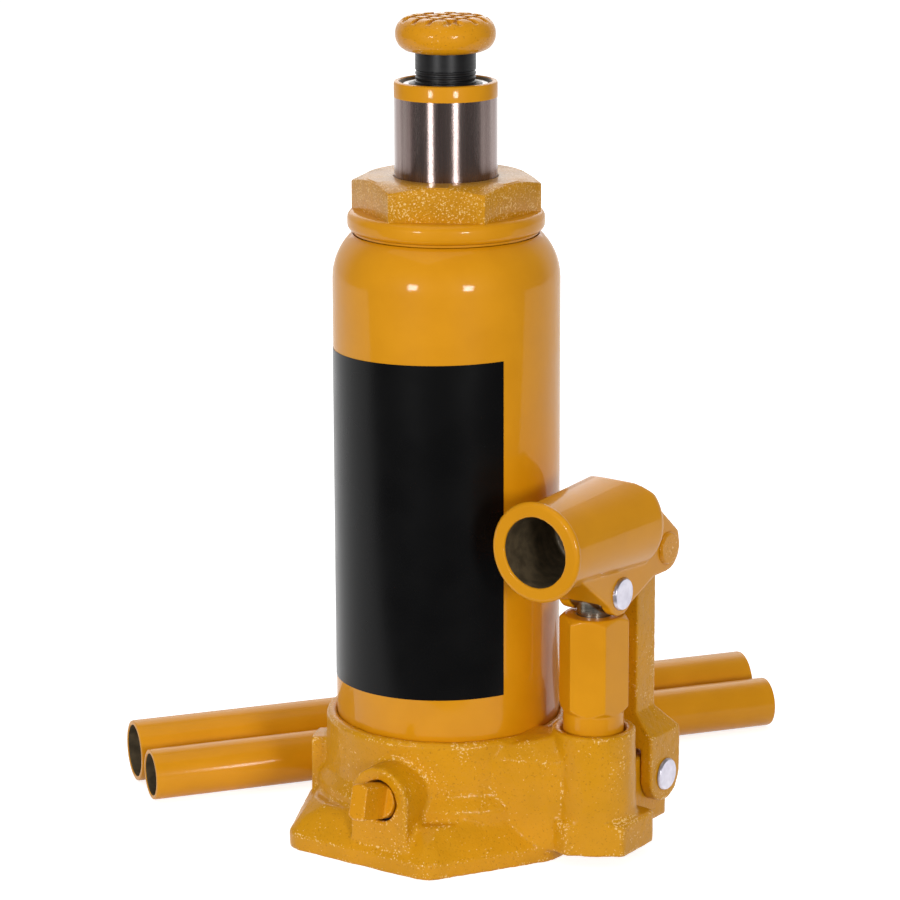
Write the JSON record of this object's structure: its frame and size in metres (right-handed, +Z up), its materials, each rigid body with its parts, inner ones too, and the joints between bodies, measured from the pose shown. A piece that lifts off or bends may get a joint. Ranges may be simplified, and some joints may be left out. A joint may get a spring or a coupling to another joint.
{
  "type": "hydraulic bottle jack",
  "caption": "Hydraulic bottle jack with a screw-out saddle, a lever-driven pump, a release valve and a two-piece tube handle.",
  "frame": {"origin": "on the ram's axis at the underside of the base", "axes": "+Z up along the ram, +X towards the pump, -Y the front, where the handle socket and the release valve open"},
  "size_m": [0.1776, 0.2075, 0.244],
  "materials": {
    "cast_paint": "gloss paint over a sand-cast surface",
    "smooth_paint": "gloss paint on smooth steel",
    "tube_paint": "gloss paint on drawn tube",
    "label_black": "gloss printed label, left without lettering",
    "ram_steel": "ground and polished, lightly oiled, with a painted band at its top",
    "ground_steel": "ground",
    "dark_steel": "ground, oiled",
    "black_steel": "black oxide, oiled",
    "rivet_steel": "bright zinc",
    "seal_rubber": "smooth",
    "gasket_copper": "soft annealed"
  },
  "bodies": {
    "jack_body": {"base_casting": "cast_paint", "reservoir_tube": "smooth_paint", "reservoir_lower_seal": "seal_rubber", "reservoir_upper_seal": "seal_rubber", "oil_filler_plug": "seal_rubber", "front_label": "label_black", "top_cap": "cast_paint", "ram_wiper_seal": "seal_rubber", "cylinder_gasket": "gasket_copper", "pressure_cylinder": "ground_steel", "pump_cylinder": "smooth_paint", "pump_cylinder_gasket": "gasket_copper", "link_base_pin": "rivet_steel", "link_base_pin_clip": "rivet_steel", "delivery_ball_spring": "ground_steel", "delivery_ball_retainer": "ground_steel", "suction_strainer": "gasket_copper"},
    "ram": {"ram": "ram_steel", "ram_piston": "ground_steel", "piston_cup_seal": "seal_rubber", "cup_washer": "ground_steel", "piston_nut": "ground_steel"},
    "screw_stop": {"screw_stop_ring": "ground_steel"},
    "extension_screw": {"extension_screw": "black_steel", "saddle": "cast_paint"},
    "pump_plunger": {"pump_plunger": "dark_steel", "pump_plunger_seal": "seal_rubber"},
    "handle_socket": {"handle_socket": "smooth_paint", "plunger_pin": "rivet_steel", "socket_link_pin": "smooth_paint", "plunger_pin_clip": "rivet_steel", "socket_link_pin_clip": "rivet_steel"},
    "link_arm": {"link_arm": "cast_paint"},
    "release_valve": {"release_valve": "smooth_paint", "release_valve_seal": "seal_rubber", "release_valve_ball": "ground_steel"},
    "suction_check_ball": {"suction_check_ball": "ground_steel"},
    "delivery_check_ball": {"delivery_check_ball": "ground_steel"},
    "handle_upper": {"handle_upper": "tube_paint"},
    "handle_lower": {"handle_lower": "tube_paint"}
  },
  "joints": [
    {"name": "ram_lift", "type": "slide", "parent": "jack_body", "child": "ram", "axis": [0, 0, 1], "range_m": [-0.0229, 0.104]},
    {"name": "screw_advance", "type": "slide", "parent": "ram", "child": "screw_stop", "axis": [0, 0, 1], "range_m": [-0.0079, 0.0601]},
    {"name": "saddle_turn", "type": "hinge", "parent": "screw_stop", "child": "extension_screw", "pos_m": [0, 0, 0.2], "axis": [0, 0, 1], "range_deg": [-948, 7200]},
    {"name": "link_swing", "type": "hinge", "parent": "jack_body", "child": "link_arm", "pos_m": [0.0518, 0.026, 0.0195], "axis": [1, 0, 0], "range_deg": [0, 0.6]},
    {"name": "handle_lift", "type": "hinge", "parent": "link_arm", "child": "handle_socket", "pos_m": [0.0518, 0.026, 0.0893], "axis": [-1, 0, 0], "range_deg": [0, 38]},
    {"name": "pump_stroke", "type": "slide", "parent": "jack_body", "child": "pump_plunger", "axis": [0, 0, 1], "range_m": [0, 0.0174]},
    {"name": "release_valve_turn", "type": "hinge", "parent": "jack_body", "child": "release_valve", "pos_m": [0.0065, -0.045, 0.021], "axis": [0, -0.9744, 0.225], "range_deg": [0, 540]},
    {"name": "suction_ball_lift", "type": "slide", "parent": "jack_body", "child": "suction_check_ball", "axis": [0, 0, 1], "range_m": [0, 0.0008]},
    {"name": "delivery_ball_lift", "type": "slide", "parent": "jack_body", "child": "delivery_check_ball", "axis": [0, 0, 1], "range_m": [0, 0.0008], "stiffness_N_per_m": 20, "deforming": ["delivery_ball_spring"]},
    {"name": "handle_upper_lift_off", "type": "slide", "parent": "jack_body", "child": "handle_upper", "axis": [0, 0, 1], "range_m": [0, 0.15]},
    {"name": "handle_lower_lift_off", "type": "slide", "parent": "jack_body", "child": "handle_lower", "axis": [0, 0, 1], "range_m": [0, 0.15]}
  ],
  "couplings": [
    {"joint": "screw_advance", "follows": "saddle_turn", "m_per_rad": 0.00047746},
    {"joint": "link_swing", "follows": "handle_lift", "ratio": 0.010792},
    {"joint": "pump_stroke", "follows": "handle_lift", "m_per_rad": 0.026011}
  ]
}
